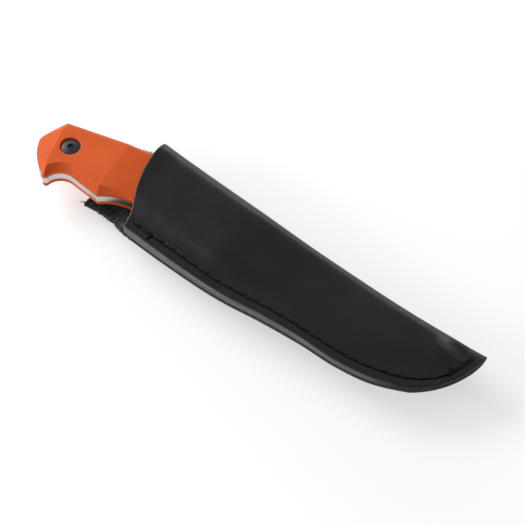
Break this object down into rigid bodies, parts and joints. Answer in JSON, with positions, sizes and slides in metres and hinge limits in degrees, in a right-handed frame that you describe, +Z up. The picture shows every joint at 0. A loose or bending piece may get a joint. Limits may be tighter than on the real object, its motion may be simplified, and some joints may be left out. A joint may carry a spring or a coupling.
{
  "type": "rigging knife in sheath",
  "caption": "Full-tang fixed-blade rigging knife with faceted orange scales, carried in a folded and stitched leather pouch sheath with a belt loop on the back.",
  "frame": {"origin": "middle of the footprint, on the plane the sheath rests on (the outer face of the belt loop)", "axes": "+X from the handle butt to the sheath toe, parallel to the fold; +Y towards the fold and the knife's spine; +Z up, out of the display face"},
  "size_m": [0.2146, 0.047, 0.0224],
  "materials": {
    "blade_steel": "satin ground",
    "orange_laminate": "machined glass laminate, matt",
    "black_screw": "black oxide, satin",
    "black_leather": "smooth grain, semi-gloss",
    "grey_leather": "cut edge, burnished",
    "waxed_thread": "waxed, braided"
  },
  "bodies": {
    "sheath": {"sheath_leather": "black_leather", "sheath_welt": "grey_leather", "seam_thread_front": "waxed_thread", "seam_thread_back": "waxed_thread", "belt_loop": "black_leather", "loop_thread_outside": "waxed_thread", "loop_thread_inside": "waxed_thread"},
    "knife": {"knife_blade": "blade_steel", "handle_scale_front": "orange_laminate", "handle_scale_back": "orange_laminate", "rear_handle_screw": "black_screw", "rear_barrel_nut": "black_screw", "front_handle_screw": "black_screw", "front_barrel_nut": "black_screw"}
  },
  "joints": [
    {"name": "knife_draw", "type": "slide", "parent": "sheath", "child": "knife", "axis": [-1, 0, 0], "range_m": [0, 0.175]}
  ]
}
